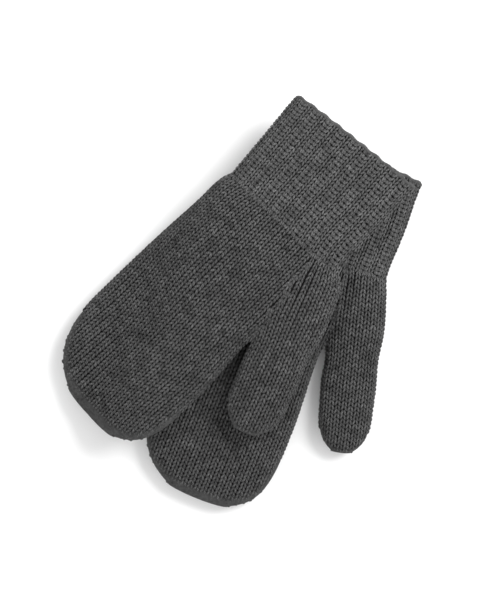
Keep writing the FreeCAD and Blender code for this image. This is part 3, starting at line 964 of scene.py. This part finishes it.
# ---- building ----
def stitches(mitten):
    """The knit's stitch objects of one mitten."""
    palm, fingers, thumb, cuff, hem = [], [], [], [], []
    for face in (0, 1):
        hand = hand_lattice(mitten, face)
        palm.append(legs(hand, hand.reach < BODY_SPLIT))
        fingers.append(legs(hand, hand.reach >= BODY_SPLIT))
        side = thumb_lattice(mitten, face)
        ahead = np.repeat((side.courses >= THUMB_SPLIT)[:, None], side.at.shape[1], 1)
        palm.append(legs(side, ~ahead))
        thumb.append(legs(side, ahead))
        knit, purl = cuff_lattices(mitten, face)
        cuff.append(legs(knit, True, RIB_LEG))
        # the outer purl legs carry painted shade for lying back in the furrows
        cuff.append(legs(purl, True, PURL_LEG_RADIUS, PURL_LEG, PURL_PAINTED_SHADE))
        cuff.append(legs(knit.turned_in(KNIT_BACK), True, RIB_LEG))
        cuff.append(legs(purl.turned_in(PURL_BACK), True, PURL_LEG_RADIUS, PURL_LEG))
        hem.append(legs(hem_lattice(mitten, face), True, HEM_LEG_RADIUS, HEM_LEG))
    name = mitten.name
    return {
        "palm": stitch_object(name + "_palm_stitches", palm, HAND_WOOL),
        "finger": stitch_object(name + "_finger_stitches", fingers, HAND_WOOL),
        "thumb": stitch_object(name + "_thumb_stitches", thumb, HAND_WOOL),
        "rib": stitch_object(name + "_rib_stitches", cuff, LIT_CUFF_WOOL),
        "hem": stitch_object(name + "_hem_stitches", hem, HEM_WOOL),
    }


def cloths(mitten):
    """Felted cloth behind the stitches, and the fleece bag inside, keyed by the part they follow."""
    name, cuff, hand, thumb = mitten.name, mitten.cuff, mitten.hand, mitten.thumb
    hand_tip, thumb_tip = (TIP_RUN, mitten.length), (THUMB_TIP_RUN, mitten.thumb_length)
    hand_stop, thumb_stop = mitten.length - CLOTH_END, mitten.thumb_length - CLOTH_END
    outer, inner = (CORE_FACE, (CORE_SIDE, CORE_EDGE)), (CORE_BACK, (CORE_BACK, CORE_BACK))
    soft_out, soft_in = (FLEECE_OUT, (FLEECE_OUT, FLEECE_OUT)), (FLEECE_IN, (FLEECE_IN, FLEECE_IN))
    gusset = thumb.stations[0]
    knit = [
        ("rib", "rib_felt", cuff, 2 * MM, CUFF_END, None),
        ("palm", "palm_felt", hand, CUFF_END, BODY_SPLIT, None),
        ("finger", "finger_felt", hand, BODY_SPLIT, hand_stop, hand_tip),
        ("palm", "gusset_felt", thumb, gusset, THUMB_SPLIT, None),
        ("thumb", "thumb_felt", thumb, THUMB_SPLIT, thumb_stop, thumb_tip),
    ]
    soft = [
        ("palm", "palm_fleece", hand, CUFF_END + FLEECE_START, BODY_SPLIT, None),
        ("finger", "finger_fleece", hand, BODY_SPLIT, hand_stop - FLEECE_OUT, hand_tip),
        ("palm", "gusset_fleece", thumb, gusset + FLEECE_GUSSET, THUMB_SPLIT, None),
        ("thumb", "thumb_fleece", thumb, THUMB_SPLIT, thumb_stop - FLEECE_OUT, thumb_tip),
    ]
    made = []
    for rows, out, back, material in ((knit, outer, inner, KNIT_FELT_AND_SHADE), (soft, soft_out, soft_in, FLEECE)):
        for part, label, surface, start, stop, tip in rows:
            piece = bag(name + "_" + label, surface, start, stop, out, back, tip, material)
            made.append((part, piece))
    return made


def bend(piece, axis, span):
    """A piece that crosses a joint: the ends of its span along an axis are worked out, and its transform is baked
    into its mesh.
    """
    start, end = [tuple(axis.world(0.0, at, 0.0)) for at in span]
    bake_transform(piece)


def attach(mitten, part, piece):
    """Ties a piece of the lower mitten's hand or cuff to its body; any other piece only has its transform baked.
    """
    upper = mitten.name == "upper"
    if part == "thumb":
        bend(piece, mitten.thumb_axis, THUMB_BEND)
    elif not upper:
        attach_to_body(piece, "lower_mitten")
    elif part == "finger":
        bend(piece, mitten.hand_axis, FINGER_BEND)
    else:
        bend(piece, mitten.hand_axis, CUFF_BEND)


STANDS_FOR = {
    "palm_stitches": "palm_knit", "finger_stitches": "finger_knit", "thumb_stitches": "thumb_knit",
    "rib_stitches": "rib_cuff", "edge_cord": "cuff_edge", "hem_stitches": "lining_hem",
    "palm_fleece": "palm_lining", "finger_fleece": "finger_lining", "thumb_fleece": "thumb_lining",
}


def build(name):
    """One mitten: its pieces, the lower mitten's hand and cuff pieces tied to its body, and its CAD seams in their
    yarn.
    """
    mitten = Mitten(name)
    pieces = list(stitches(mitten).items()) + cloths(mitten) + [("rib", edge_cord(mitten))]
    for part, piece in pieces:
        attach(mitten, part, piece)
        label = piece.name.removeprefix(name + "_")
        if label in STANDS_FOR:
            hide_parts(name + "_" + STANDS_FOR[label])
    for node in ("fingertip_seam", "thumb_tip_seam"):
        cord = frame["nodes"][name + "_" + node]
        cord.data.materials.clear()
        cord.data.materials.append(SEAM)


for mitten_name in ("lower", "upper"):
    build(mitten_name)


# ---- floor, light and camera ----
VIEW_HEIGHT = 400.0 * MM
LOOK_AT = (19.8 * MM, -128.4 * MM)       # from the upper cuff's mouth
LENS, SENSOR = 85.0, 36.0
LAMPS = (                       # where each hangs, to the right, up the picture and over it; size; watts
    ("key", (0.75, 0.45, 0.85), 0.6, 14.0),
    ("fill", (-0.8, -0.2, 0.9), 0.8, 3.0),
)
ROOM_LIGHT = 0.85
FLOOR_HALF = 3.0                # metres


def area_light(name, place, aim, size, power):
    data = bpy.data.lights.new(name, "AREA")
    data.shape, data.size, data.energy = "SQUARE", size, power
    lamp = bpy.data.objects.new(name, data)
    lamp.location = place
    lamp.rotation_euler = (aim - place).to_track_quat("-Z", "Y").to_euler()
    bpy.context.scene.collection.objects.link(lamp)


def pale_floor():
    mesh = bpy.data.meshes.new("floor")
    corners = [(x * FLOOR_HALF, y * FLOOR_HALF, 0) for x, y in ((-1, -1), (1, -1), (1, 1), (-1, 1))]
    mesh.from_pydata(corners, [], [(0, 1, 2, 3)])
    floor = bpy.data.objects.new("floor", mesh)
    bpy.context.scene.collection.objects.link(floor)
    n = Nodes("pale_floor")
    shader = n.add("ShaderNodeBsdfPrincipled", {"Base Color": grey(0.9), "Roughness": 0.9})
    n.add("ShaderNodeOutputMaterial", {"Surface": shader.outputs["BSDF"]})
    mesh.materials.append(n.material)


def studio(aim, up, right):
    """A pale room with one broad light from the cuffs' side and a weak one opposite."""
    world = bpy.data.worlds.new("studio")
    world.use_nodes = True
    background = world.node_tree.nodes["Background"]
    background.inputs["Color"].default_value = grey(1.0)
    background.inputs["Strength"].default_value = ROOM_LIGHT
    bpy.context.scene.world = world
    for name, (across, along, height), size, power in LAMPS:
        area_light(name, aim + across * right + along * up + Vector((0, 0, height)), aim, size, power)
    bpy.context.scene.view_settings.view_transform = "Standard"


def camera_above(aim, up, right):
    """A camera looking straight down, the way the pair lies in the picture."""
    data = bpy.data.cameras.new("camera")
    data.lens, data.sensor_fit = LENS, "VERTICAL"
    data.sensor_width, data.sensor_height = SENSOR, SENSOR
    camera = bpy.data.objects.new("camera", data)
    distance = VIEW_HEIGHT * LENS / SENSOR
    turn = Matrix((right, up, (0, 0, 1))).transposed().to_4x4()
    camera.matrix_world = Matrix.Translation(aim + Vector((0, 0, distance))) @ turn
    bpy.context.scene.collection.objects.link(camera)
    bpy.context.scene.camera = camera


opening = Vector(mount("upper_hand_opening")["pos_m"])
AIM = Vector((opening.x + LOOK_AT[0], opening.y + LOOK_AT[1], CAD_BOX[1].z / 2))
IMAGE_UP, IMAGE_RIGHT = Vector((-1, 1, 0)).normalized(), Vector((1, 1, 0)).normalized()
pale_floor()
studio(AIM, IMAGE_UP, IMAGE_RIGHT)
camera_above(AIM, IMAGE_UP, IMAGE_RIGHT)
